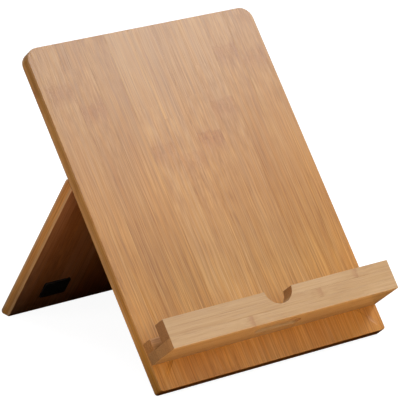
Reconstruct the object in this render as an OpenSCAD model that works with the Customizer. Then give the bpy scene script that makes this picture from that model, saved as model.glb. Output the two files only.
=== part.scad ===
// Folding tablet stand. A leaning board carries a ledge for the tablet's lower edge,
// and a full-width rear leg on two small butt hinges props it up or folds flat behind it.
// Millimetres. +Z is up, the stand rests on Z = 0, and its front faces -Y.

/* [Front panel] */
// Width of the front panel
panel_w = 200; // [170:1:260]
// Length of the front panel along its slope
panel_h = 264.5; // [240:0.5:320]
// Thickness of the front panel
panel_t = 10; // [8:0.5:14]
// Radius of the two top corners
top_corner_r = 10; // [3:0.5:20]
// Radius of the two bottom corners
foot_corner_r = 2; // [1:0.5:5]

/* [Stance] */
// Angle between the front panel and the table
lean = 50.7; // [48:0.1:54]
// Angle between the open rear leg and the table
leg_angle = 55.2; // [53:0.1:58]

/* [Ledge] */
// Length of the shelf, lip and back rail from end to end
ledge_w = 199; // [160:1:200]
// Distance up the slope from the panel's bottom to the underside of the shelf
ledge_rise = 19.5; // [15:0.5:30]
// How far the shelf stands out from the panel
ledge_depth = 33.5; // [30:0.5:40]
// Thickness of the shelf
shelf_t = 8; // [7:0.5:10]
// Height of the front lip above the shelf
lip_h = 14; // [12:0.5:18]
// Thickness of the front lip
lip_t = 11.5; // [9:0.5:12]
// Depth of the back rail, from the panel to the channel
rail_depth = 9.5; // [7:0.5:10]
// Height of the back rail above the shelf
rail_h = 8.5; // [7.5:0.5:11]
// Radius of the half-round notch in the lip
notch_r = 12; // [8:0.5:12]
// How far the notch's centre lies above the lip's top edge
notch_lift = 1; // [0.5:0.5:3]
// Length of the cable slot through the shelf
slot_l = 40; // [20:1:44]
// Width of the cable slot
slot_w = 10; // [5:0.5:10]
// Distance from the panel's front face to the middle of the cable slot
slot_out = 16.9; // [15:0.1:17]

/* [Rear leg] */
// Width of the rear leg
leg_w = 200; // [170:1:260]
// Thickness of the rear leg
leg_t = 9.5; // [8.5:0.5:12]
// Distance up the panel's back to the top of the leg's inner face
leg_top = 158.5; // [140:0.5:170]
// Gap between the leg's bevelled top and the panel when the leg is open
stop_gap = 0.15; // [0.1:0.05:0.3]

/* [Bumper pads] */
// Width of each pad across the leg
pad_w = 22.5; // [10:0.5:30]
// Length of each pad down the leg
pad_l = 16.5; // [10:0.5:25]
// Distance from the centre line to the middle of each pad
pad_x = 69; // [30:1:84]
// Distance from the top of the leg's inner face to the middle of each pad
pad_down = 123.5; // [60:0.5:124]
// Radius of the pads' corners
pad_corner_r = 1.5; // [0.5:0.5:4]
// Thickness of the pads
pad_t = 1.5; // [1:0.1:3]

/* [Hinges] */
// Distance from the centre line to the middle of each hinge
hinge_x = 58; // [20:1:80]
// Length of each hinge along its pin
hinge_w = 30; // [24:1:36]
// How far each leaf reaches from the pin
leaf_reach = 15; // [13:0.5:18]
// Thickness of the leaves
leaf_t = 0.9; // [0.8:0.1:1.2]
// Diameter of the hinge pins
pin_d = 1.6; // [1.4:0.1:2]
// Length of the middle knuckle, which belongs to the leg's leaf
middle_knuckle = 10; // [8:0.5:12]
// Distance between a leaf's two screws
leaf_screw_pitch = 18; // [14:1:20]
// Distance from the pin to the screws
leaf_screw_out = 9; // [8.5:0.5:9]

/* [Fasteners] */
// Head diameter of the hinge screws
small_head_d = 4.4; // [4:0.1:4.8]
// Shank diameter of the hinge screws
small_shank_d = 2.2; // [2:0.1:2.4]
// Length of the hinge screws
small_screw_l = 8; // [6:0.5:8.5]
// Head diameter of the ledge screws
ledge_head_d = 6.6; // [6:0.1:7]
// Shank diameter of the ledge screws
ledge_shank_d = 3.4; // [3:0.1:3.6]
// Length of the ledge screws
ledge_screw_l = 25; // [20:1:28]
// How far the ledge screws' heads are sunk below the panel's back
ledge_screw_sink = 0.3; // [0.1:0.1:0.6]
// Diameter of the dowels in the ledge
dowel_d = 4; // [3:0.5:4]
// Length of the dowels in the ledge
dowel_l = 10; // [8:0.5:10]

/* [Hidden] */
$fn = 64;

// Side of the stand on which a repeated part sits
LEFT = -1;
RIGHT = 1;

// Colours of the materials
bamboo = [0.79, 0.60, 0.40];
bamboo_end = [0.64, 0.45, 0.26];
brass = [0.76, 0.62, 0.33];
steel = [0.70, 0.71, 0.72];
black_rubber = [0.05, 0.05, 0.05];

// Positions across the stand of the ledge's hidden fasteners
ledge_screw_xs = [-80, -30, 30, 80];
lip_dowel_xs = [-88, -35, 35, 88];
rail_dowel_xs = [-55, 0, 55];
// How deep the dowels go into the shelf
dowel_sink = 4.5;
// Clearance round screws and dowels, and past the ends of their holes
hole_gap = 0.02;
hole_end_gap = 0.3;

// Hinge knuckles: running clearance on the pin, gap between knuckles, and outer radius
pin_gap = 0.05;
knuckle_gap = 0.2;
knuckle_r = pin_d / 2 + pin_gap + leaf_t;
// Clearance between a knuckle and the boards on either side of it
knuckle_board_gap = 0.15;
// A leaf starts this far past the other leaf's knuckle
leaf_start = knuckle_r + 0.25;
leaf_corner_r = 1.5;
pin_end = 0.3;

// Angle of the V between the panel's back and the open leg
v_angle = 180 - lean - leg_angle;
// Distance from the pin to the panel's back and to the leg's inner face
pivot_off = knuckle_r + knuckle_board_gap;
// Distance from the bottom of the V to the pin, along either board
pivot_down = pivot_off / tan(v_angle / 2);

// Length of the leg's inner face, so that the foot stands on the table
leg_inner_l = leg_top * sin(lean) / sin(leg_angle);
// The foot is cut level, so the outer face is longer
foot_rake = leg_t / tan(leg_angle);
// The bevelled top lies along the panel's back
top_rake = leg_t / tan(v_angle);
top_inset = stop_gap / sin(v_angle);

// Heights up the slope
shelf_top = ledge_rise + shelf_t;
lip_top = shelf_top + lip_h;
lip_back = panel_t + ledge_depth - lip_t;

// Y of the frontmost and rearmost points, measured from the panel's lower back edge
front_y = ledge_rise * cos(lean) - (panel_t + ledge_depth) * sin(lean);
foot_y = leg_top * cos(lean) + leg_inner_l * cos(leg_angle) + leg_t / sin(leg_angle);
rear_y = max(foot_y, panel_h * cos(lean));
mid_y = (front_y + rear_y) / 2;

// ---- Placement ----

// Panel frame: X across, Y up the slope, Z out of the front face, 0 on the back face
module on_panel() {
    translate([0, -mid_y, 0]) rotate([lean, 0, 0]) children();
}

// Leg frame: X across, Y down the leg, Z out of its rear face, 0 on the inner face
module on_leg() {
    translate([0, leg_top * cos(lean) - mid_y, leg_top * sin(lean)])
        rotate([-leg_angle, 0, 0]) children();
}

// Hinge frame on each board: Y away from the pin along the board, Z 0 on the board
module on_panel_hinge(side) {
    on_panel() translate([side * hinge_x, leg_top - pivot_down, 0]) mirror([0, 1, 0]) children();
}

module on_leg_hinge(side) {
    on_leg() translate([side * hinge_x, pivot_down, 0]) children();
}

// ---- Shared shapes ----

// A prism of width w, centred on X, from an outline given in Y and Z
module across(w) {
    translate([-w / 2, 0, 0]) rotate([90, 0, 90]) linear_extrude(w) children();
}

// A box centred on X, from low to high in Y and Z
module bar(w, low, high) {
    translate([-w / 2, low[0], low[1]]) cube([w, high[0] - low[0], high[1] - low[1]]);
}

// A board outline centred on X and standing on Y = 0
module board_outline(w, h, r_low, r_high) {
    translate([-w / 2, r_low]) square([w, h - r_low - r_high]);
    translate([r_low - w / 2, 0]) square([w - 2 * r_low, r_low + 1]);
    translate([r_high - w / 2, h - r_high - 1]) square([w - 2 * r_high, r_high + 1]);
    for (side = [LEFT, RIGHT]) {
        translate([side * (w / 2 - r_low), r_low]) circle(r_low);
        translate([side * (w / 2 - r_high), h - r_high]) circle(r_high);
    }
}

// A countersunk cross-recessed screw along -Z, with its head's face at Z = 0
module screw(head_d, shank_d, length) {
    head_h = (head_d - shank_d) / 2;
    recess_l = head_d * 0.56;
    recess_w = head_d * 0.14;
    recess_h = head_h * 0.8;
    difference() {
        rotate_extrude() polygon([
            [0, 0], [head_d / 2, 0], [shank_d / 2, -head_h],
            [shank_d / 2, shank_d - length], [0, -length],
        ]);
        for (turn = [0, 90])
            rotate(turn)
                translate([-recess_l / 2, -recess_w / 2, -recess_h])
                    cube([recess_l, recess_w, recess_h + 1]);
    }
}

// The space that such a screw takes, with clearance, open above its head
module screw_hole(head_d, shank_d, length) {
    head_r = head_d / 2 + hole_gap;
    shank_r = shank_d / 2 + hole_gap;
    end = -length - hole_end_gap;
    rotate_extrude() polygon([
        [0, 1], [head_r, 1], [head_r, 0], [shank_r, (shank_d - head_d) / 2],
        [shank_r, end], [0, end],
    ]);
}

// A dowel with chamfered ends, standing on Z = 0
module dowel() {
    chamfer = 0.5;
    r = dowel_d / 2;
    rotate_extrude() polygon([
        [0, 0], [r - chamfer, 0], [r, chamfer],
        [r, dowel_l - chamfer], [r - chamfer, dowel_l], [0, dowel_l],
    ]);
}

// The hole for a dowel, long enough for both of the pieces that it joins
module dowel_hole() {
    translate([0, 0, -hole_end_gap])
        cylinder(h = dowel_l + 2 * hole_end_gap, r = dowel_d / 2 + hole_gap);
}

// Places for the ledge's fasteners, in the panel frame
module at_ledge_screws() {
    for (x = ledge_screw_xs)
        translate([x, ledge_rise + shelf_t / 2, ledge_screw_sink]) rotate([180, 0, 0]) children();
}

module at_dowels(xs, out) {
    for (x = xs)
        translate([x, shelf_top - dowel_sink, out]) rotate([-90, 0, 0]) children();
}

// Places for a leaf's screws, in its hinge frame
module at_leaf_screws() {
    for (side = [LEFT, RIGHT])
        translate([side * leaf_screw_pitch / 2, leaf_screw_out, -leaf_t])
            rotate([180, 0, 0]) children();
}

module ledge_screw_holes() {
    at_ledge_screws() screw_hole(ledge_head_d, ledge_shank_d, ledge_screw_l);
}

module leaf_screw_holes() {
    at_leaf_screws() screw_hole(small_head_d, small_shank_d, small_screw_l);
}

// ---- Bamboo boards ----

// Leaning board that the tablet rests against
module front_panel() {
    color(bamboo)
        difference() {
            on_panel() linear_extrude(panel_t)
                board_outline(panel_w, panel_h, foot_corner_r, top_corner_r);
            on_panel() ledge_screw_holes();
            for (side = [LEFT, RIGHT])
                on_panel_hinge(side) leaf_screw_holes();
        }
}

// Shelf that stands out square from the panel, with the cable slot through it
module ledge_shelf() {
    straight = slot_l - slot_w;
    color(bamboo)
        on_panel() difference() {
            bar(ledge_w, [ledge_rise, panel_t], [shelf_top, panel_t + ledge_depth]);
            translate([0, ledge_rise - 1, panel_t + slot_out])
                rotate([-90, 0, 0]) linear_extrude(shelf_t + 2) {
                    square([straight, slot_w], center = true);
                    for (side = [LEFT, RIGHT])
                        translate([side * straight / 2, 0]) circle(slot_w / 2);
                }
            ledge_screw_holes();
            at_dowels(lip_dowel_xs, lip_back + lip_t / 2) dowel_hole();
            at_dowels(rail_dowel_xs, panel_t + rail_depth / 2) dowel_hole();
        }
}

// Lip along the shelf's front edge, with the half-round notch in its top
module ledge_lip() {
    color(bamboo)
        on_panel() difference() {
            bar(ledge_w, [shelf_top, lip_back], [lip_top, lip_back + lip_t]);
            translate([0, lip_top + notch_lift, lip_back - 1]) cylinder(h = lip_t + 2, r = notch_r);
            at_dowels(lip_dowel_xs, lip_back + lip_t / 2) dowel_hole();
        }
}

// Low rail on the shelf against the panel, which closes the back of the channel
module ledge_back_rail() {
    color(bamboo_end)
        on_panel() difference() {
            bar(ledge_w, [shelf_top, panel_t], [shelf_top + rail_h, panel_t + rail_depth]);
            at_dowels(rail_dowel_xs, panel_t + rail_depth / 2) dowel_hole();
        }
}

// Full-width prop. Its bevelled top stops against the panel's back
module rear_leg() {
    color(bamboo_end)
        difference() {
            on_leg() across(leg_w) polygon([
                [top_inset, 0],
                [top_inset - top_rake, leg_t],
                [leg_inner_l + foot_rake, leg_t],
                [leg_inner_l, 0],
            ]);
            for (side = [LEFT, RIGHT])
                on_leg_hinge(side) leaf_screw_holes();
        }
}

// ---- Ledge fasteners ----

module ledge_screws() {
    color(steel)
        on_panel() at_ledge_screws() screw(ledge_head_d, ledge_shank_d, ledge_screw_l);
}

module lip_dowels() {
    color(bamboo)
        on_panel() at_dowels(lip_dowel_xs, lip_back + lip_t / 2) dowel();
}

module rail_dowels() {
    color(bamboo)
        on_panel() at_dowels(rail_dowel_xs, panel_t + rail_depth / 2) dowel();
}

// ---- Hinges ----

// A leaf in its hinge frame. Each knuckle is given as [from, to] along the pin
module leaf(knuckles) {
    plate_l = leaf_reach - leaf_start;
    color(brass)
        difference() {
            union() {
                translate([0, leaf_start, -leaf_t]) linear_extrude(leaf_t) {
                    translate([-hinge_w / 2, 0]) square([hinge_w, plate_l - leaf_corner_r]);
                    translate([leaf_corner_r - hinge_w / 2, 0])
                        square([hinge_w - 2 * leaf_corner_r, plate_l]);
                    for (side = [LEFT, RIGHT])
                        translate([side * (hinge_w / 2 - leaf_corner_r), plate_l - leaf_corner_r])
                            circle(leaf_corner_r);
                }
                for (k = knuckles) {
                    translate([k[0], 0, -leaf_t]) cube([k[1] - k[0], leaf_start + 1, leaf_t]);
                    translate([k[0], 0, -pivot_off])
                        rotate([0, 90, 0]) cylinder(h = k[1] - k[0], r = knuckle_r);
                }
            }
            translate([-hinge_w, 0, -pivot_off])
                rotate([0, 90, 0]) cylinder(h = 2 * hinge_w, r = pin_d / 2 + pin_gap);
            leaf_screw_holes();
        }
}

module panel_leaf(side) {
    inner = middle_knuckle / 2 + knuckle_gap / 2;
    on_panel_hinge(side) leaf([[-hinge_w / 2, -inner], [inner, hinge_w / 2]]);
}

module leg_leaf(side) {
    inner = middle_knuckle / 2 - knuckle_gap / 2;
    on_leg_hinge(side) leaf([[-inner, inner]]);
}

// Pin with domed ends that stand a little proud of the knuckles
module hinge_pin(side) {
    half = hinge_w / 2 + pin_end;
    r = pin_d / 2;
    color(brass)
        on_panel_hinge(side) translate([0, 0, -pivot_off]) rotate([0, 90, 0]) rotate_extrude()
            polygon([[0, -half], [r / 2, -half], [r, r / 2 - half], [r, half - r / 2], [r / 2, half], [0, half]]);
}

module panel_leaf_screws(side) {
    color(brass)
        on_panel_hinge(side) at_leaf_screws() screw(small_head_d, small_shank_d, small_screw_l);
}

module leg_leaf_screws(side) {
    color(brass)
        on_leg_hinge(side) at_leaf_screws() screw(small_head_d, small_shank_d, small_screw_l);
}

// ---- Bumper pads ----

// Pad near the leg's foot, which keeps the boards from knocking when the leg is folded
module bumper_pad(side) {
    color(black_rubber)
        on_leg() translate([side * pad_x, pad_down - pad_l / 2, -pad_t])
            linear_extrude(pad_t) board_outline(pad_w, pad_l, pad_corner_r, pad_corner_r);
}

front_panel();
ledge_shelf();
ledge_lip();
ledge_back_rail();
ledge_screws();
lip_dowels();
rail_dowels();
rear_leg();
panel_leaf(LEFT);  // hinge_left_panel_leaf
leg_leaf(LEFT);  // hinge_left_leg_leaf
hinge_pin(LEFT);  // hinge_left_pin
panel_leaf_screws(LEFT);  // hinge_left_panel_screws
leg_leaf_screws(LEFT);  // hinge_left_leg_screws
panel_leaf(RIGHT);  // hinge_right_panel_leaf
leg_leaf(RIGHT);  // hinge_right_leg_leaf
hinge_pin(RIGHT);  // hinge_right_pin
panel_leaf_screws(RIGHT);  // hinge_right_panel_screws
leg_leaf_screws(RIGHT);  // hinge_right_leg_screws
bumper_pad(LEFT);  // bumper_pad_left
bumper_pad(RIGHT);  // bumper_pad_right
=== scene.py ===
"""Looks of the folding tablet stand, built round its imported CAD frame.

Metres, +Z up. The stand's front faces -Y and it rests on Z = 0. Each board is built about its
own middle, in a frame whose X runs across the grain, Y along it and Z out through one face.
"""

import math

import bmesh
import bpy
from mathutils import Matrix, Vector


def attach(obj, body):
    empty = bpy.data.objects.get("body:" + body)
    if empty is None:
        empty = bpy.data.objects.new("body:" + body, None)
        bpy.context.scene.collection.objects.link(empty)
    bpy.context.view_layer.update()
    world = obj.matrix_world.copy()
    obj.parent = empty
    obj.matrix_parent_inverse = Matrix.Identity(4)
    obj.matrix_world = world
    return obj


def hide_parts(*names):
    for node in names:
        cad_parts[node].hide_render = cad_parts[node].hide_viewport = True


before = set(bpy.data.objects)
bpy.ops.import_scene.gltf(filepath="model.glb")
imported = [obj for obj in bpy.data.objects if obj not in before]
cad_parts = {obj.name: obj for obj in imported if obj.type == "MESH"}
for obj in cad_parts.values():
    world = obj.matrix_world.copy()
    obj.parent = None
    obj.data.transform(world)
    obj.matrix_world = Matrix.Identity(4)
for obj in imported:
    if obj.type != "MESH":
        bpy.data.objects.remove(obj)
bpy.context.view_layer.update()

MM = 0.001

# Stance, as in the CAD model
LEAN = math.radians(50.7)
LEG_ANGLE = math.radians(55.2)

# Millimetres from here on
PANEL_EASE = 0.4
PANEL_TOP_R = 10
PANEL_FOOT_R = 2.2
LEG_EASE = 0.4
LEG_CORNER_R = 1.9
LEG_TOP_R = 0.8
LEDGE_EASE = 0.15
LEDGE_CORNER_R = 0.3
NOTCH_R = 12
NOTCH_LIFT = 1
SLOT_L = 40
SLOT_W = 10
SLOT_OFF_MIDDLE = 0.15
SLOT_CORNER_R = 4.95
PAD_CORNER_R = 1.5
PAD_EASE = 0.5
PAD_BASE_EASE = 0.1
LEDGE_SCREW_XS = (-80, -30, 30, 80)
LEDGE_SCREW_HOLE_R = 1.72
LEDGE_HEAD_HOLE_R = 3.32
LEDGE_SCREW_SINK = 0.3
HARDWARE_EASE = 0.12

# Directions in the stand's frame
ACROSS = Vector((1, 0, 0))
UP_SLOPE = Vector((0, math.cos(LEAN), math.sin(LEAN)))
OUT_OF_PANEL = Vector((0, -math.sin(LEAN), math.cos(LEAN)))
DOWN_LEG = Vector((0, math.cos(LEG_ANGLE), -math.sin(LEG_ANGLE)))


# ---- Frames ----

def axes(x_axis, y_axis):
    """The rotation whose columns are X, Y and the Z that they make."""
    return Matrix((x_axis, y_axis, x_axis.cross(y_axis))).transposed()


PANEL_AXES = axes(ACROSS, UP_SLOPE)
SHELF_AXES = axes(OUT_OF_PANEL, ACROSS)
LIP_AXES = axes(UP_SLOPE, ACROSS)
LEG_AXES = axes(ACROSS, DOWN_LEG)


def own_frame(node, turn):
    """A CAD node's own frame at its middle, and its size in millimetres along that frame's axes."""
    points = [turn.transposed() @ vertex.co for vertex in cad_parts[node].data.vertices]
    low = Vector([min(values) for values in zip(*points)])
    high = Vector([max(values) for values in zip(*points)])
    place = Matrix.Translation(turn @ ((low + high) / 2)) @ turn.to_4x4()
    return place, (high - low) / MM


# ---- Outlines: lists of (corner, radius), with the board on the left ----

def rectangle(width, height, low_r, high_r, middle=(0, 0)):
    x, y = middle
    w, h = width / 2, height / 2
    return [
        (Vector((x - w, y - h)), low_r),
        (Vector((x + w, y - h)), low_r),
        (Vector((x + w, y + h)), high_r),
        (Vector((x - w, y + h)), high_r),
    ]


def hole(corners):
    """The same outline the other way round, so that the board lies outside it."""
    return corners[::-1]


def circle(middle, radius, count=40):
    turns = [2 * math.pi * k / count for k in range(count)]
    return [(Vector(middle) + radius * Vector((math.cos(a), math.sin(a))), 0) for a in turns]


def shrunk(corners, inset):
    """The outline moved into the board by the inset."""
    moved = []
    for i, (corner, radius) in enumerate(corners):
        arriving = (corner - corners[i - 1][0]).normalized()
        leaving = (corners[(i + 1) % len(corners)][0] - corner).normalized()
        side_a = Vector((-arriving.y, arriving.x))
        side_b = Vector((-leaving.y, leaving.x))
        shift = (side_a + side_b) * inset / (1 + side_a.dot(side_b))
        change = -inset if arriving.cross(leaving) > 0 else inset
        moved.append((corner + shift, radius + change if radius else 0))
    return moved


def outline(corners, steps=6):
    """The points of an outline, with an arc in place of each rounded corner."""
    points = []
    for i, (corner, radius) in enumerate(corners):
        if not radius:
            points.append(corner)
            continue
        back = (corners[i - 1][0] - corner).normalized()
        ahead = (corners[(i + 1) % len(corners)][0] - corner).normalized()
        half = back.angle(ahead) / 2
        centre = corner + (back + ahead).normalized() * radius / math.sin(half)
        start = corner + back * radius / math.tan(half) - centre
        sweep = math.copysign(math.pi - 2 * half, ahead.cross(back))
        points += [centre + Matrix.Rotation(sweep * k / steps, 2) @ start for k in range(steps + 1)]
    return points


# ---- Boards ----

def rims(thickness, low_ease, high_ease, steps=5):
    """(height, inset) stations through a board, with a quarter round at each rim."""
    turns = [math.pi / 2 * k / steps for k in range(steps + 1)]
    rounds = [(1 - math.cos(a), 1 - math.sin(a)) for a in turns]
    low = [(low_ease * up - thickness / 2, low_ease * inset) for up, inset in rounds]
    high = [(thickness / 2 - high_ease * up, high_ease * inset) for up, inset in rounds[::-1]]
    return low + high


def countersink(thickness):
    """Stations for a hole that is countersunk from the board's low face."""
    back = -thickness / 2
    head = LEDGE_HEAD_HOLE_R - LEDGE_SCREW_HOLE_R
    lip = 0.15
    return [
        (back, head + lip),
        (back + lip, head),
        (back + LEDGE_SCREW_SINK, head),
        (back + LEDGE_SCREW_SINK + head, 0),
        (thickness / 2, 0),
    ]


def board_mesh(name, loops):
    """A closed mesh from (corners, stations) loops: the outside first, and then any holes."""
    bm = bmesh.new()
    low_edges, high_edges = [], []
    for corners, stations in loops:
        rings = []
        for height, inset in stations:
            points = outline(shrunk(corners, inset))
            rings.append([bm.verts.new((p.x * MM, p.y * MM, height * MM)) for p in points])
        for low, high in zip(rings, rings[1:]):
            for i in range(len(low)):
                bm.faces.new((low[i - 1], low[i], high[i], high[i - 1]))
        low_edges += [bm.edges.get((rings[0][i - 1], rings[0][i])) for i in range(len(low))]
        high_edges += [bm.edges.get((rings[-1][i - 1], rings[-1][i])) for i in range(len(low))]
    bmesh.ops.triangle_fill(bm, edges=low_edges, use_beauty=True, normal=(0, 0, -1))
    bmesh.ops.triangle_fill(bm, edges=high_edges, use_beauty=True, normal=(0, 0, 1))
    bmesh.ops.recalc_face_normals(bm, faces=bm.faces[:])
    for face in bm.faces:
        face.smooth = True
    mesh = bpy.data.meshes.new(name)
    bm.to_mesh(mesh)
    bm.free()
    return mesh


def weighted_normals(piece):
    """Flat faces stay flat up to their rounded rims."""
    modifier = piece.modifiers.new("weighted_normals", "WEIGHTED_NORMAL")
    modifier.weight = 100
    modifier.keep_sharp = True


def add_piece(name, mesh, place, body, node, material):
    piece = bpy.data.objects.new(name, mesh)
    bpy.context.scene.collection.objects.link(piece)
    piece.matrix_world = place
    mesh.materials.append(material)
    weighted_normals(piece)
    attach(piece, body)
    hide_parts(node)


# ---- Materials ----

class Graph:
    """Builds a material's nodes. A value is a number, a vector, a colour or another node's output."""

    def __init__(self, name):
        self.material = bpy.data.materials.new(name)
        self.material.use_nodes = True
        self.tree = self.material.node_tree
        self.shader = self.tree.nodes["Principled BSDF"]

    def put(self, socket, value):
        if isinstance(value, bpy.types.NodeSocket):
            self.tree.links.new(value, socket)
        else:
            socket.default_value = value

    def node(self, kind, values, out=0, **settings):
        node = self.tree.nodes.new(kind)
        for key, value in settings.items():
            setattr(node, key, value)
        for key, value in values.items():
            self.put(node.inputs[key], value)
        return node.outputs[out]

    def math(self, operation, *values):
        return self.node("ShaderNodeMath", dict(enumerate(values)), operation=operation)

    def vector(self, operation, *values):
        return self.node("ShaderNodeVectorMath", dict(enumerate(values)), operation=operation)

    def coordinates(self, kind):
        return self.node("ShaderNodeTexCoord", {}, out=kind)

    def millimetres(self):
        return self.vector("MULTIPLY", self.coordinates("Object"), (1 / MM,) * 3)

    def split(self, vector):
        node = self.tree.nodes.new("ShaderNodeSeparateXYZ")
        self.put(node.inputs[0], vector)
        return node.outputs[0], node.outputs[1], node.outputs[2]

    def join(self, x, y, z):
        return self.node("ShaderNodeCombineXYZ", {0: x, 1: y, 2: z})

    def moved(self, place, scale, shift):
        """The place scaled along each axis and then shifted, as a noise's coordinates."""
        return self.vector("MULTIPLY_ADD", place, scale, shift)

    def noise(self, vector, detail=2.0, roughness=0.5):
        values = {"Vector": vector, "Scale": 1.0, "Detail": detail, "Roughness": roughness}
        return self.node("ShaderNodeTexNoise", values)

    def step(self, value, start, end):
        """A smooth change from 0 to 1 as the value goes from start to end."""
        values = {0: value, 1: start, 2: end}
        return self.node("ShaderNodeMapRange", values, interpolation_type="SMOOTHSTEP")

    def mix(self, factor, a, b, blend="MIX"):
        values = {0: factor, 6: a, 7: b}
        return self.node("ShaderNodeMix", values, out=2, data_type="RGBA", blend_type=blend)

    def ramp(self, value, stops, interpolation="LINEAR"):
        """A colour ramp from (position, colour) stops."""
        node = self.tree.nodes.new("ShaderNodeValToRGB")
        ramp = node.color_ramp
        ramp.interpolation = interpolation
        while len(ramp.elements) < len(stops):
            ramp.elements.new(1.0)
        for element, (position, colour) in zip(ramp.elements, stops):
            element.position = position
            element.color = (*colour, 1.0)
        self.put(node.inputs[0], value)
        return node.outputs[0]

    def bump(self, height, distance):
        values = {"Height": height, "Distance": distance * MM, "Strength": 1.0}
        return self.node("ShaderNodeBump", values)

    def finish(self, **inputs):
        for key, value in inputs.items():
            self.put(self.shader.inputs[key.replace("_", " ")], value)
        return self.material


# ---- Bamboo ----

# Colours, from the darkest fibre to the lightest
PANEL_COLOURS = ((0.317, 0.137, 0.032), (0.450, 0.231, 0.066), (0.575, 0.331, 0.112))
LEDGE_COLOURS = ((0.35, 0.195, 0.082), (0.49, 0.331, 0.176), (0.58, 0.420, 0.250))
RAIL_COLOURS = ((0.40, 0.175, 0.058), (0.58, 0.295, 0.112), (0.72, 0.41, 0.18))
SKIN_COLOURS = ((0.43, 0.210, 0.074), (0.57, 0.308, 0.123), (0.67, 0.392, 0.170))
SHADES = (0.0, 0.5, 1.0)

# Tints multiply the colour under them
PLAIN = (1, 1, 1)
WARM_TINT = (1.05, 0.98, 0.76)
PALE_TINT = (1.0, 1.03, 1.22)
BUNDLE_TINT = (0.66, 0.50, 0.36)
NODE_TINT = (0.80, 0.64, 0.58)
RING_TINT = (0.62, 0.44, 0.34)
GLUE_TINT = (0.42, 0.28, 0.18)
DOT_TINT = (0.45, 0.34, 0.26)
BOARD_END_TINT = (0.74, 0.59, 0.46)
SHELF_END_TINT = (1.0, 0.77, 0.53)
LIP_END_TINT = (0.78, 0.56, 0.38)
RAIL_END_TINT = (0.84, 0.71, 0.51)
PANEL_CORE_TINT = (1.0, 0.93, 0.80)
LEG_CORE_TINT = (1.32, 1.16, 1.12)
# Painted shade: darkens the leg's inner face, which lies in the shade under the panel
LEG_INNER_PAINTED_SHADE = (0.93, 0.72, 0.95)

# Painted light and shade that come on over a stretch of the panel: from and to up the slope from its
# middle, tint
PANEL_PAINTED_LIGHT_AND_SHADE = (
    # Painted shade: darker towards the top
    (-18, 132, (0.83, 0.85, 0.87)),
    # Painted light: lighter from above the ledge down to the foot, against the shade of the lip and the
    # shelf
    (-33, -85, (1.34, 1.29, 1.16)),
    # Painted shade: darker and warmer from the shelf down to the foot
    (-82, -100, (0.93, 0.88, 0.73)),
)

# Scales of the noises, in cycles a millimetre across the grain, along it and through the board
RAGGED = (0.45, 0.26, 0.45)
SWAY = (0.03, 0.018, 0.03)
FIBRES = (0.95, 0.013, 0.95)
BUNDLES = (2.0, 0.06, 2.0)
DRIFT = (0.05, 0.018, 0.05)
FIGURE = (0.24, 0.075, 0.24)
WISPS = (0.80, 0.07, 0.80)
WARMTH = (0.42, 0.009, 0.42)
DOTS = (1.3, 0.02, 1.3)

# The shade runs from 0, the darkest colour, to 1, the lightest. It starts from the darkest tone,
# and these say how far the strip's tone and each noise move it.
DARKEST_TONE = 0.29
TONE_CONTRAST = 0.42
FIBRE_CONTRAST = 1.95
FIBRE_CONTRAST_LOST_AT_NODE = 1.5
WISP_CONTRAST = 1.3
DRIFT_CONTRAST = 0.5
SWIRL_CONTRAST = 0.8
FIGURE_CONTRAST = 0.65

# How strongly the marks take their tints
BUNDLE_STRENGTH = 0.42
RING_STRENGTH = 0.25
GLUE_STRENGTH = 0.35
DOT_STRENGTH = 0.7

# The wood's relief in millimetres, and the marks' part in it, where the fibres' is 1
RELIEF = 0.06
BUNDLE_RELIEF = -0.35
GLUE_RELIEF = -0.8
RING_RELIEF = 0.35
DOT_RELIEF = -0.8

SMOOTHEST = 0.25
FIBRE_ROUGHNESS = 0.14
END_ROUGHNESS = 0.15

# Seen on the front from left to right, as (tone, node's place, node's depth) for each strip. The
# tone runs from dark to light. The place is counted down from the top, in spaces between nodes.
PANEL_STRIPS = (
    (0.30, 0.60, 0.30),
    (0.50, 0.12, 0.55),
    (0.30, 0.19, 0.70),
    (0.42, 0.97, 0.40),
    (0.80, 0.34, 0.55),
    (0.68, 0.38, 0.50),
    (0.56, 0.33, 1.00),
    (0.58, 0.25, 0.70),
    (0.44, 0.10, 0.60),
    (0.50, 0.13, 0.55),
    (0.35, 0.70, 0.30),
)
LIP_STRIPS = (
    (0.50, 0.24, 0.60),
    (0.62, 0.11, 0.70),
)
STRIP_W = 21.4
FIRST_STRIP = -96 - STRIP_W
LEG_FIRST_STRIP = FIRST_STRIP + 7
SHELF_STRIP_W = 5.8
LIP_STRIP_W = 7.2
RAIL_STRIP_W = 8.8
PANEL_PLIES = (0.20, 0.60)
LEG_PLIES = (0.22, 0.75)
NODE_SPACING = 270
NODE_LEAD = 30
BOARD_NODE_L = 20.0
LEDGE_NODE_L = 6.0
LEDGE_GRAIN = 0.5

# Each board's own run of the noises
PANEL_SEED = 3.0
SHELF_SEED = 11.0
LIP_SEED = 5.0
RAIL_SEED = 29.0
LEG_SEED = 41.0


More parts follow.
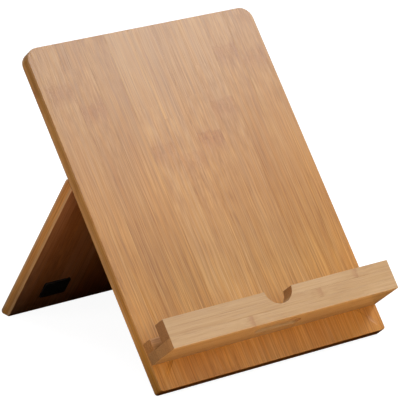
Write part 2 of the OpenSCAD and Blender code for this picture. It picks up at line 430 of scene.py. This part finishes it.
class Bamboo(Graph):
    """Glued strips of bamboo, with their fibres along Y.

    Each strip has a tone, and a node at some place and depth. They are random, except on the
    front where a board has chosen ones. Plies end at shares of the depth from the front.
    """

    def __init__(
        self, name, size, strip_w, first, seed, chosen=(), plies=(), node_l=BOARD_NODE_L, grain=1.0,
    ):
        super().__init__(name)
        self.size = size
        self.strip_w = strip_w
        self.plies = plies
        self.node_l = node_l
        self.grain = grain
        self.place = self.millimetres()
        x, self.y, z = self.split(self.place)
        self.strip_at = self.math("DIVIDE", self.math("SUBTRACT", x, first), strip_w)
        self.depth = self.math("MULTIPLY_ADD", z, -1 / size.z, 0.5)
        self.lay_strips(seed, chosen)
        self.grow_nodes()
        self.grow_fibres()
        self.cut_edges()

    def centred(self, value):
        return self.math("SUBTRACT", value, 0.5)

    def tint(self, factor, colour, tint):
        return self.mix(factor, colour, (*tint, 1), "MULTIPLY")

    def own_noise(self, place, scale, detail=2.0, roughness=0.5):
        """A noise that differs from strip to strip."""
        return self.noise(self.moved(place, scale, self.own), detail, roughness)

    def lay_strips(self, seed, chosen):
        """The ply and the strip at a point, and the strip's character."""
        strip = self.math("FLOOR", self.strip_at)
        self.layer = 0.0
        for end_of_ply in self.plies:
            self.layer = self.math("ADD", self.layer, self.math("GREATER_THAN", self.depth, end_of_ply))
        number = self.join(strip, self.layer, seed)
        character = self.node("ShaderNodeTexWhiteNoise", {"Vector": number}, out="Color")
        if chosen:
            stops = [(k / len(chosen), values) for k, values in enumerate(chosen)]
            cell = self.math("DIVIDE", self.math("ADD", strip, 0.5), len(chosen))
            front = self.math("COMPARE", self.layer, 0.0, 0.5)
            character = self.mix(front, character, self.ramp(cell, stops, "CONSTANT"))
        self.tone, self.node_place, self.node_depth = self.split(character)
        self.own = self.vector("MULTIPLY", self.vector("ADD", character, number), (37, 91, 53))

    def grow_nodes(self):
        """Each strip's node: a mottled patch across it, under a faint ring."""
        ragged = self.own_noise(self.place, RAGGED, detail=4.0, roughness=0.68)
        node_y = self.math("MULTIPLY_ADD", self.node_place, -NODE_SPACING, self.size.y / 2)
        below = self.math("SUBTRACT", node_y, self.y)
        below = self.math("WRAP", below, NODE_SPACING - NODE_LEAD, -NODE_LEAD)
        below = self.math("MULTIPLY_ADD", self.centred(ragged), 0.6 * self.node_l, below)
        start = 0.2 * self.node_l
        begun = self.step(below, -start, start)
        near = self.math("MULTIPLY", begun, self.step(below, self.node_l, start))
        depth_near = self.math("MULTIPLY", near, self.node_depth)
        self.patch = self.math("MULTIPLY", depth_near, self.step(ragged, 0.30, 0.60))
        distance = self.math("ABSOLUTE", below)
        self.ring = self.math("MULTIPLY", self.step(distance, 1.2, 0.2), self.node_depth)
        self.around = self.step(distance, 3.8 * self.node_l, self.node_l)
        self.swirl = self.math("MULTIPLY", near, self.centred(ragged))

    def grow_fibres(self):
        """Long fibres that sway, and bend round the nodes, with short dark bundles among them."""
        sway = self.own_noise(self.place, SWAY)
        bend = self.math("MULTIPLY", self.swirl, 4.0)
        shift = self.math("MULTIPLY_ADD", self.centred(sway), 2.5, bend)
        self.swayed = self.vector("ADD", self.place, self.join(shift, 0.0, 0.0))
        self.fibres = self.own_noise(self.swayed, FIBRES, detail=3.0, roughness=0.62)
        self.bundles = self.step(self.own_noise(self.swayed, BUNDLES, detail=1.0), 0.54, 0.70)
        self.drift = self.own_noise(self.place, DRIFT)
        self.figure = self.own_noise(self.swayed, FIGURE, detail=3.0, roughness=0.6)
        self.wisps = self.own_noise(self.swayed, WISPS)

    def cut_edges(self):
        """Glue lines between strips and plies, and the dots of cut bundles on the ends."""
        self.across, along, through = self.split(self.vector("ABSOLUTE", self.coordinates("Normal")))
        strip_edge = self.math("MULTIPLY", self.math("PINGPONG", self.strip_at, 0.5), self.strip_w)
        seen = self.step(self.across, 0.8, 0.5)
        self.glue = self.math("MULTIPLY", self.step(strip_edge, 0.11, 0.04), seen)
        for end_of_ply in self.plies:
            from_end = self.math("ABSOLUTE", self.math("SUBTRACT", self.depth, end_of_ply))
            ply_edge = self.math("MULTIPLY", from_end, self.size.z)
            seen = self.step(through, 0.8, 0.5)
            ply_glue = self.math("MULTIPLY", self.step(ply_edge, 0.14, 0.05), seen)
            self.glue = self.math("MAXIMUM", self.glue, ply_glue)
        self.end = self.step(along, 0.5, 0.85)
        cells = {"Vector": self.vector("MULTIPLY", self.place, DOTS), "Scale": 1.0, "Randomness": 0.9}
        dot = self.node("ShaderNodeTexVoronoi", cells)
        self.dots = self.math("MULTIPLY", self.step(dot, 0.42, 0.18), self.end)

    def shade(self):
        """How light the wood is, from 0 to 1."""
        shade = self.math("MULTIPLY_ADD", self.tone, TONE_CONTRAST, DARKEST_TONE)
        lost = -FIBRE_CONTRAST_LOST_AT_NODE * self.grain
        contrast = self.math("MULTIPLY_ADD", self.around, lost, FIBRE_CONTRAST * self.grain)
        shade = self.math("MULTIPLY_ADD", self.centred(self.fibres), contrast, shade)
        wisps = self.math("MULTIPLY", self.centred(self.wisps), WISP_CONTRAST * self.grain)
        shade = self.math("MULTIPLY_ADD", wisps, self.around, shade)
        shade = self.math("MULTIPLY_ADD", self.centred(self.drift), DRIFT_CONTRAST, shade)
        shade = self.math("MULTIPLY_ADD", self.swirl, SWIRL_CONTRAST, shade)
        figure = self.math("MULTIPLY", self.around, self.centred(self.figure))
        return self.math("MULTIPLY_ADD", figure, FIGURE_CONTRAST, shade)

    def plied(self, shade, colour, core_tint, back_painted_shade):
        """The colour with the plies' own where the sides show them, and with painted shade on the back
        face.
        """
        side = self.step(self.across, 0.5, 0.8)
        core = self.math("COMPARE", self.layer, 1.0, 0.5)
        skin = self.math("MULTIPLY", side, self.math("SUBTRACT", 1.0, core))
        colour = self.mix(skin, colour, self.ramp(shade, tuple(zip(SHADES, SKIN_COLOURS))))
        colour = self.tint(self.math("MULTIPLY", side, core), colour, core_tint)
        # Painted shade on the back face where one is given: the leg's inner face
        back_ply = self.math("COMPARE", self.layer, 2.0, 0.5)
        back = self.math("MULTIPLY", back_ply, self.math("SUBTRACT", 1.0, side))
        colour = self.tint(back, colour, back_painted_shade)
        warmth = self.own_noise(self.swayed, WARMTH)
        colour = self.tint(self.step(warmth, 0.32, 0.68), colour, WARM_TINT)
        return self.tint(self.step(self.tone, 0.48, 0.62), colour, PALE_TINT)

    def wood(self, colours, ends=BOARD_END_TINT, core_tint=PLAIN, back_painted_shade=PLAIN, painted_bands=()):
        """The finished material."""
        shade = self.shade()
        colour = self.ramp(shade, tuple(zip(SHADES, colours)))
        if self.plies:
            colour = self.plied(shade, colour, core_tint, back_painted_shade)
        bundles = self.math("MULTIPLY", self.bundles, BUNDLE_STRENGTH * self.grain)
        colour = self.tint(bundles, colour, BUNDLE_TINT)
        colour = self.tint(self.patch, colour, NODE_TINT)
        # Painted light and shade in bands along the board
        for start, end, tint in painted_bands:
            colour = self.tint(self.step(self.y, start, end), colour, tint)
        colour = self.tint(self.math("MULTIPLY", self.ring, RING_STRENGTH), colour, RING_TINT)
        colour = self.tint(self.math("MULTIPLY", self.glue, GLUE_STRENGTH), colour, GLUE_TINT)
        colour = self.tint(self.end, colour, ends)
        colour = self.tint(self.math("MULTIPLY", self.dots, DOT_STRENGTH), colour, DOT_TINT)

        roughness = self.math("MULTIPLY_ADD", self.fibres, FIBRE_ROUGHNESS, SMOOTHEST)
        roughness = self.math("MULTIPLY_ADD", self.end, END_ROUGHNESS, roughness)
        height = self.math("MULTIPLY_ADD", self.bundles, BUNDLE_RELIEF, self.fibres)
        height = self.math("MULTIPLY_ADD", self.glue, GLUE_RELIEF, height)
        height = self.math("MULTIPLY_ADD", self.ring, RING_RELIEF, height)
        height = self.math("MULTIPLY_ADD", self.dots, DOT_RELIEF, height)
        return self.finish(Base_Color=colour, Roughness=roughness, Normal=self.bump(height, RELIEF))


# ---- Other materials ----

BRASS = (0.80, 0.56, 0.25)
STAINED_BRASS = (0.52, 0.33, 0.14)
STEEL = (0.62, 0.62, 0.61)
STAINED_STEEL = (0.38, 0.37, 0.36)


def dowel_wood():
    """Turned bamboo rod, with its fibres along Z of the ledge."""
    g = Graph("bamboo_dowel")
    fibres = g.noise(g.vector("MULTIPLY", g.millimetres(), (1.6, 0.3, 0.3)), detail=3.0)
    colour = g.ramp(fibres, ((0.3, (0.42, 0.22, 0.09)), (0.7, (0.66, 0.40, 0.19))))
    return g.finish(Base_Color=colour, Roughness=0.6, Normal=g.bump(fibres, 0.08))


def metal(name, colour, stained, roughness):
    """Drawn or turned metal with faint scratches and slightly dull patches."""
    g = Graph(name)
    place = g.millimetres()
    patches = g.noise(g.vector("MULTIPLY", place, (0.35, 0.35, 0.35)), detail=4.0, roughness=0.6)
    scratches = g.noise(g.vector("MULTIPLY", place, (0.25, 9.0, 9.0)), detail=2.0)
    tarnish = g.step(patches, 0.42, 0.68)
    shade = g.mix(g.math("MULTIPLY", tarnish, 0.6), (*colour, 1), (*stained, 1))
    dull = g.math("MULTIPLY_ADD", tarnish, 0.14, roughness)
    dull = g.math("MULTIPLY_ADD", g.math("SUBTRACT", scratches, 0.5), 0.18, dull)
    return g.finish(Base_Color=shade, Roughness=dull, Normal=g.bump(scratches, 0.012), Metallic=1.0)


def black_rubber():
    """Moulded rubber with a fine matt grain and a little dust."""
    g = Graph("bumper_rubber")
    place = g.millimetres()
    grain = g.noise(g.vector("MULTIPLY", place, (5.0, 5.0, 5.0)), detail=2.0)
    dust = g.noise(g.vector("MULTIPLY", place, (0.22, 0.22, 0.22)), detail=3.0)
    colour = g.ramp(dust, ((0.35, (0.010, 0.010, 0.011)), (0.75, (0.022, 0.021, 0.020))))
    roughness = g.math("MULTIPLY_ADD", grain, 0.2, 0.5)
    return g.finish(Base_Color=colour, Roughness=roughness, Normal=g.bump(grain, 0.03))


# ---- Pieces ----

def front_panel():
    place, size = own_frame("front_panel", PANEL_AXES)
    screw_place, screw_size = own_frame("ledge_screws", PANEL_AXES)
    screw_y = (place.inverted() @ screw_place.translation).y / MM
    board = rectangle(size.x, size.y, PANEL_FOOT_R, PANEL_TOP_R)
    loops = [(board, rims(size.z, PANEL_EASE, PANEL_EASE))]
    for x in LEDGE_SCREW_XS:
        loops.append((hole(circle((x, screw_y), LEDGE_SCREW_HOLE_R)), countersink(size.z)))
    bamboo = Bamboo("bamboo_panel", size, STRIP_W, FIRST_STRIP, PANEL_SEED, PANEL_STRIPS, PANEL_PLIES)
    wood = bamboo.wood(PANEL_COLOURS, core_tint=PANEL_CORE_TINT, painted_bands=PANEL_PAINTED_LIGHT_AND_SHADE)
    mesh = board_mesh("front_panel_board", loops)
    add_piece("front_panel_board", mesh, place, "easel", "front_panel", wood)


def ledge_shelf():
    place, size = own_frame("ledge_shelf", SHELF_AXES)
    board = rectangle(size.x, size.y, LEDGE_CORNER_R, LEDGE_CORNER_R)
    slot = rectangle(SLOT_W, SLOT_L, SLOT_CORNER_R, SLOT_CORNER_R, (SLOT_OFF_MIDDLE, 0))
    through = rims(size.z, LEDGE_EASE, LEDGE_EASE)
    bamboo = Bamboo(
        "bamboo_shelf", size, SHELF_STRIP_W, -3 * SHELF_STRIP_W, SHELF_SEED,
        node_l=LEDGE_NODE_L, grain=LEDGE_GRAIN,
    )
    wood = bamboo.wood(LEDGE_COLOURS, SHELF_END_TINT)
    mesh = board_mesh("ledge_shelf_board", [(board, through), (hole(slot), through)])
    add_piece("ledge_shelf_board", mesh, place, "easel", "ledge_shelf", wood)


def notched(height, length):
    """The lip's outline, with X up and the half-round notch in its top edge."""
    reach = math.acos(NOTCH_LIFT / NOTCH_R)
    steps = 32
    board = rectangle(height, length, LEDGE_CORNER_R, LEDGE_CORNER_R)
    low_left, low_right, high_right, high_left = board
    notch = []
    for k in range(steps + 1):
        turn = reach * (2 * k / steps - 1)
        x = height / 2 + NOTCH_LIFT - NOTCH_R * math.cos(turn)
        radius = LEDGE_CORNER_R if k in (0, steps) else 0
        notch.append((Vector((x, NOTCH_R * math.sin(turn))), radius))
    return [low_left, low_right, *notch, high_right, high_left]


def ledge_lip():
    place, size = own_frame("ledge_lip", LIP_AXES)
    bamboo = Bamboo(
        "bamboo_lip", size, LIP_STRIP_W, -LIP_STRIP_W, LIP_SEED, LIP_STRIPS,
        node_l=LEDGE_NODE_L, grain=LEDGE_GRAIN,
    )
    wood = bamboo.wood(LEDGE_COLOURS, LIP_END_TINT)
    board = notched(size.x, size.y)
    mesh = board_mesh("ledge_lip_board", [(board, rims(size.z, LEDGE_EASE, LEDGE_EASE))])
    add_piece("ledge_lip_board", mesh, place, "easel", "ledge_lip", wood)


def ledge_back_rail():
    place, size = own_frame("ledge_back_rail", LIP_AXES)
    board = rectangle(size.x, size.y, LEDGE_CORNER_R, LEDGE_CORNER_R)
    first_strip = -RAIL_STRIP_W / 2
    bamboo = Bamboo("bamboo_rail", size, RAIL_STRIP_W, first_strip, RAIL_SEED, node_l=LEDGE_NODE_L)
    wood = bamboo.wood(RAIL_COLOURS, RAIL_END_TINT)
    mesh = board_mesh("ledge_back_rail_board", [(board, rims(size.z, LEDGE_EASE, LEDGE_EASE))])
    add_piece("ledge_back_rail_board", mesh, place, "easel", "ledge_back_rail", wood)


def leg_side(size):
    """The leg seen from its side: Y down the leg and Z out of it, as the outline's X and Y."""
    top_rake = size.z / math.tan(math.pi - LEAN - LEG_ANGLE)
    foot_rake = size.z / math.tan(LEG_ANGLE)
    top, foot = -size.y / 2, size.y / 2
    inner, outer = -size.z / 2, size.z / 2
    return [
        (Vector((top + top_rake, inner)), LEG_TOP_R),
        (Vector((foot - foot_rake, inner)), LEG_CORNER_R),
        (Vector((foot, outer)), LEG_CORNER_R),
        (Vector((top, outer)), LEG_CORNER_R),
    ]


def rear_leg():
    place, size = own_frame("rear_leg", LEG_AXES)
    mesh = board_mesh("rear_leg_board", [(leg_side(size), rims(size.x, LEG_EASE, LEG_EASE))])
    lengthwise = Matrix(((0, 0, 1, 0), (1, 0, 0, 0), (0, 1, 0, 0), (0, 0, 0, 1)))
    mesh.transform(lengthwise)
    bamboo = Bamboo("bamboo_leg", size, STRIP_W, LEG_FIRST_STRIP, LEG_SEED, plies=LEG_PLIES)
    wood = bamboo.wood(PANEL_COLOURS, core_tint=LEG_CORE_TINT, back_painted_shade=LEG_INNER_PAINTED_SHADE)
    add_piece("rear_leg_board", mesh, place, "leg", "rear_leg", wood)


def bumper_pad(side, rubber):
    node = "bumper_pad_" + side
    place, size = own_frame(node, LEG_AXES)
    board = rectangle(size.x, size.y, PAD_CORNER_R, PAD_CORNER_R)
    mesh = board_mesh(node + "_moulded", [(board, rims(size.z, PAD_EASE, PAD_BASE_EASE))])
    add_piece(node + "_moulded", mesh, place, "leg", node, rubber)


def finish_node(name, material):
    """A CAD node that keeps its shape, with its hard edges eased and a better material."""
    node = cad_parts[name]
    for held in node.material_slots:
        held.material = material
    weld = node.modifiers.new("weld", "WELD")
    weld.merge_threshold = 0.001 * MM
    bevel = node.modifiers.new("eased_edges", "BEVEL")
    bevel.width = HARDWARE_EASE * MM
    bevel.segments = 2
    bevel.limit_method = "ANGLE"
    bevel.angle_limit = math.radians(40)
    weighted_normals(node)


def hardware():
    brass = metal("hinge_brass", BRASS, STAINED_BRASS, 0.24)
    steel = metal("screw_steel", STEEL, STAINED_STEEL, 0.26)
    dowels = dowel_wood()
    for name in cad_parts:
        if name.startswith("hinge_"):
            finish_node(name, brass)
        elif name == "ledge_screws":
            finish_node(name, steel)
        elif name.endswith("_dowels"):
            finish_node(name, dowels)


# ---- Stage ----

WHITE = (1, 1, 1)


def floor_sheet(name, half, middle, paint):
    bm = bmesh.new()
    bmesh.ops.create_grid(bm, x_segments=1, y_segments=1, size=half)
    bmesh.ops.translate(bm, verts=bm.verts[:], vec=middle)
    mesh = bpy.data.meshes.new(name)
    bm.to_mesh(mesh)
    bm.free()
    mesh.materials.append(Graph(name + "_paint").finish(**paint))
    sheet = bpy.data.objects.new(name, mesh)
    bpy.context.scene.collection.objects.link(sheet)
    return sheet


def floor_paint(colour, glow_colour, glow):
    return {
        "Base_Color": (*colour, 1),
        "Roughness": 0.9,
        "Specular_IOR_Level": 0.1,
        "Emission_Color": (*glow_colour, 1),
        "Emission_Strength": glow,
    }


def floor():
    """A pale floor for the camera only, over sheets that bounce light: warm in front, white at left."""
    shown = floor_sheet("studio_floor", 6.0, (0, 0, 0), floor_paint((0.25, 0.25, 0.25), WHITE, 0.94))
    shown.visible_diffuse = False
    shown.visible_glossy = False
    shown.visible_shadow = False
    warm_paint = floor_paint((0.78, 0.52, 0.24), (1.0, 0.63, 0.31), 1.3)
    warm = floor_sheet("bounce_floor", 1.5, (0, -1.63, -MM), warm_paint)
    warm.visible_camera = False
    white_paint = floor_paint((0.65, 0.65, 0.65), WHITE, 0.1)
    white = floor_sheet("bounce_floor_left", 0.9, (-1.05, 0.80, -MM), white_paint)
    white.visible_camera = False
    white.visible_glossy = False


def softbox(name, place, aim, width, height, energy, colour=WHITE, roll=0):
    light = bpy.data.lights.new(name, "AREA")
    light.shape = "RECTANGLE"
    light.size = width
    light.size_y = height
    light.energy = energy
    light.color = colour
    lamp = bpy.data.objects.new(name, light)
    bpy.context.scene.collection.objects.link(lamp)
    turn = (Vector(aim) - Vector(place)).to_track_quat("-Z", "Y").to_matrix()
    turn = turn @ Matrix.Rotation(math.radians(roll), 3, "Z")
    lamp.matrix_world = Matrix.Translation(place) @ turn.to_4x4()
    lamp.visible_camera = False


def lights():
    """The panel's upper part mirrors the key. A wall of light in front fills what the key misses."""
    middle = (0, 0, 0.1)
    softbox("key", (0.90, -0.36, 1.26), (0, 0.05, 0.15), 0.79, 0.48, 12, roll=-36)
    softbox("front_wall", (0, -1.6, 1.5), middle, 2.6, 1.3, 12.5)
    softbox("low_front", (0.3, -1.2, 0.45), (0, -0.05, 0.05), 1.0, 0.5, 2.2, (1.0, 0.90, 0.75))
    softbox("overhead", (0, 0.55, 1.9), middle, 2.0, 1.6, 10)
    softbox("left_fill", (-1.5, 0.2, 0.8), middle, 0.9, 0.9, 6.5)
    softbox("back_fill", (0.2, 1.6, 0.9), middle, 2.0, 1.2, 18)


def surroundings():
    """White walls that only the camera sees: the lamps alone light the stand."""
    world = bpy.data.worlds.new("studio")
    bpy.context.scene.world = world
    world.use_nodes = True
    walls = world.node_tree.nodes["Background"]
    walls.inputs["Color"].default_value = (*WHITE, 1)
    walls.inputs["Strength"].default_value = 1.0
    world.cycles_visibility.diffuse = False
    world.cycles_visibility.glossy = False
    bpy.context.scene.view_settings.view_transform = "Standard"


def camera():
    """A long lens in front and to the left of the stand, looking down at it."""
    yaw, pitch, roll = math.radians(36.55), math.radians(19.28), math.radians(0.27)
    data = bpy.data.cameras.new("camera")
    data.sensor_width = 36
    data.lens = 269.9
    data.clip_start = 0.1
    data.clip_end = 50
    eye = bpy.data.objects.new("camera", data)
    bpy.context.scene.collection.objects.link(eye)
    level = math.cos(pitch)
    ahead = Vector((math.sin(yaw) * level, math.cos(yaw) * level, -math.sin(pitch)))
    to_right = Vector((math.cos(yaw), -math.sin(yaw), 0))
    turn = axes(to_right, to_right.cross(ahead)) @ Matrix.Rotation(roll, 3, "Z")
    place = Matrix.Translation((-1.2131, -1.6401, 0.8121))
    eye.matrix_world = place @ turn.to_4x4()
    bpy.context.scene.camera = eye


front_panel()
ledge_shelf()
ledge_lip()
ledge_back_rail()
rear_leg()
pad_rubber = black_rubber()
for pad_side in ("left", "right"):
    bumper_pad(pad_side, pad_rubber)
hardware()
floor()
lights()
surroundings()
camera()
